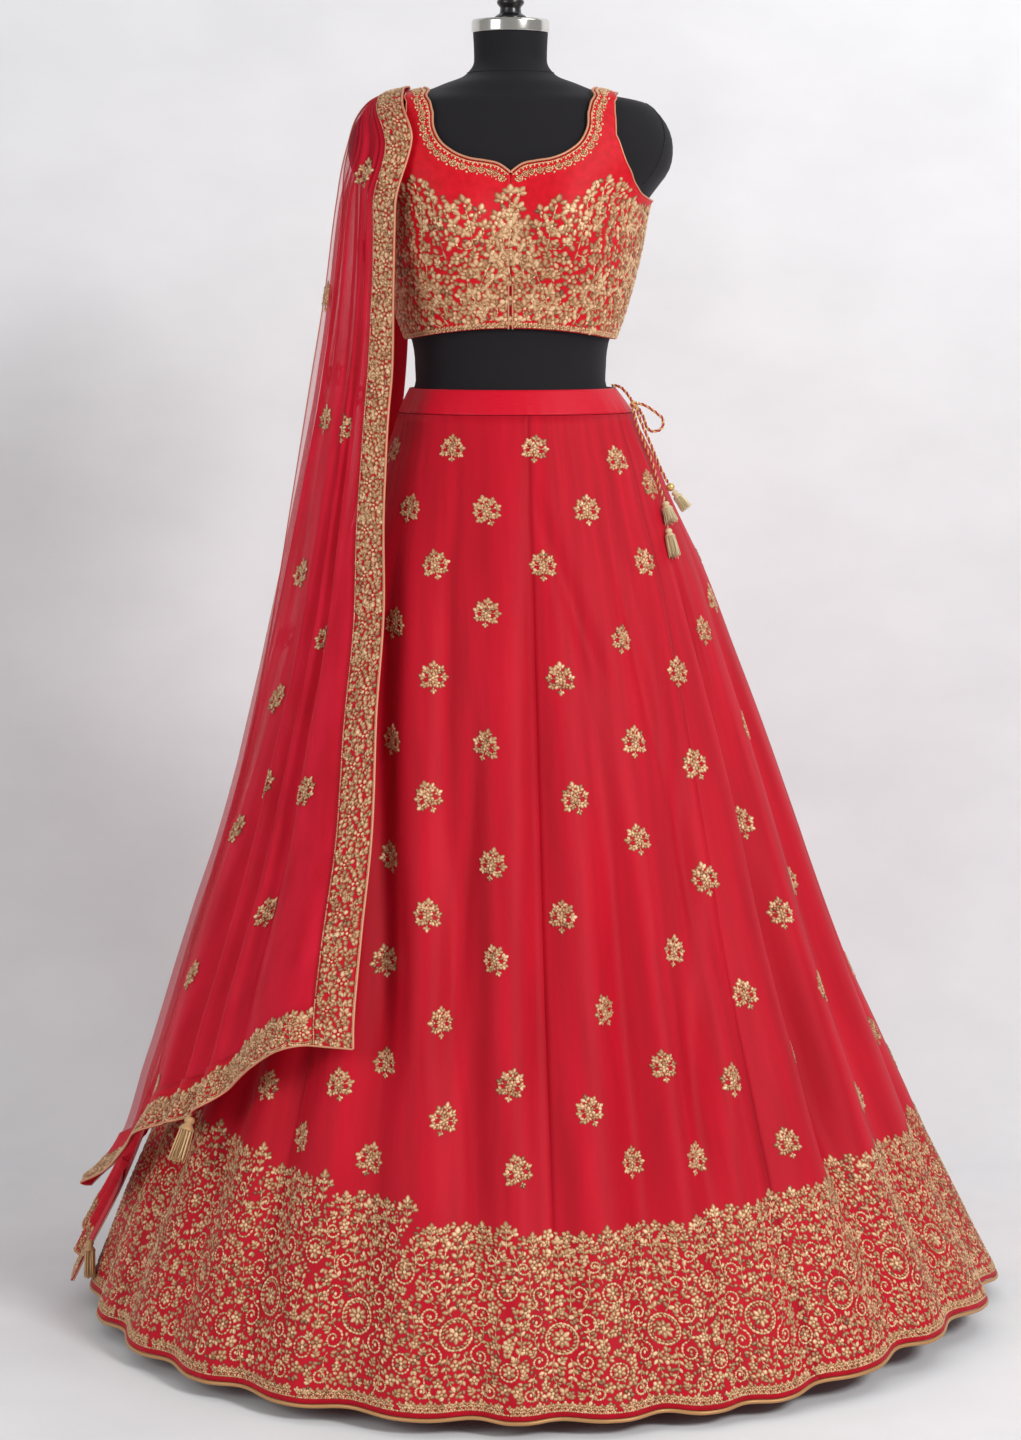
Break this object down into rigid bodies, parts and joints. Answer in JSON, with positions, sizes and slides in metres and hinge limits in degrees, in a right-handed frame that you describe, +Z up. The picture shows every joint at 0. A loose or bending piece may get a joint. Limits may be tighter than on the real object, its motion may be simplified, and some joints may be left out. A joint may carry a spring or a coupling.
{
  "type": "lehenga choli on a limbless dress form",
  "caption": "Embroidered flared skirt, short sleeveless blouse and sheer shoulder stole worn by a limbless dress form on a round stand, with a tasselled drawstring.",
  "frame": {"origin": "centre of the underside of the stand's round base, on the surface it stands on", "axes": "+Z up along the pole, front of the garment faces -Y, the wearer's left is +X"},
  "size_m": [1.06, 1.0529, 1.491],
  "materials": {
    "form_cloth": "black cotton jersey stretched over a padded torso, matt",
    "neck_cap_chrome": "polished",
    "finial_black": "black lacquered turned knob",
    "stand_metal": "satin black powder coat",
    "choli_silk": "red silk under dense raised gold thread work",
    "choli_piping": "pinkish gold corded piping",
    "skirt_net": "fine red net over red satin, gold thread motifs and a deep worked hem",
    "hem_piping": "gold corded piping",
    "waistband_satin": "red satin, soft sheen",
    "dupatta_net": "sheer red net with scattered gold thread motifs",
    "dupatta_border": "dense raised gold thread work on red net",
    "drawstring_cord": "gold and red two-ply twisted cord",
    "drawstring_bead": "beaded ball, satin gold",
    "tassel_thread": "beige gold thread, soft lustre"
  },
  "bodies": {
    "root": {"form_torso": "form_cloth", "neck_cap": "neck_cap_chrome", "finial": "finial_black", "stand_pole": "stand_metal", "stand_base": "stand_metal", "choli_front_left": "choli_silk", "choli_front_right": "choli_silk", "choli_back": "choli_silk", "choli_neck_piping": "choli_piping", "waistband": "waistband_satin", "skirt_panel_1": "skirt_net", "skirt_panel_2": "skirt_net", "skirt_panel_3": "skirt_net", "skirt_panel_4": "skirt_net", "skirt_panel_5": "skirt_net", "skirt_panel_6": "skirt_net", "skirt_panel_7": "skirt_net", "skirt_panel_8": "skirt_net", "hem_piping_1": "hem_piping", "hem_piping_2": "hem_piping", "hem_piping_3": "hem_piping", "hem_piping_4": "hem_piping", "hem_piping_5": "hem_piping", "hem_piping_6": "hem_piping", "hem_piping_7": "hem_piping", "hem_piping_8": "hem_piping", "dupatta_front": "dupatta_net", "dupatta_back": "dupatta_net", "dupatta_border_front": "dupatta_border", "dupatta_border_back": "dupatta_border", "dupatta_end_front": "dupatta_border", "dupatta_end_back": "dupatta_border", "dupatta_tassel_front": "tassel_thread", "dupatta_tassel_back": "tassel_thread", "drawstring_knot": "drawstring_cord", "drawstring_bead": "drawstring_bead", "drawstring_lead": "drawstring_cord", "drawstring_loop": "drawstring_cord", "drawstring_tail_short": "drawstring_cord", "drawstring_tail_long": "drawstring_cord", "drawstring_tassel_1": "tassel_thread", "drawstring_tassel_2": "tassel_thread", "drawstring_tassel_3": "tassel_thread"}
  },
  "joints": []
}
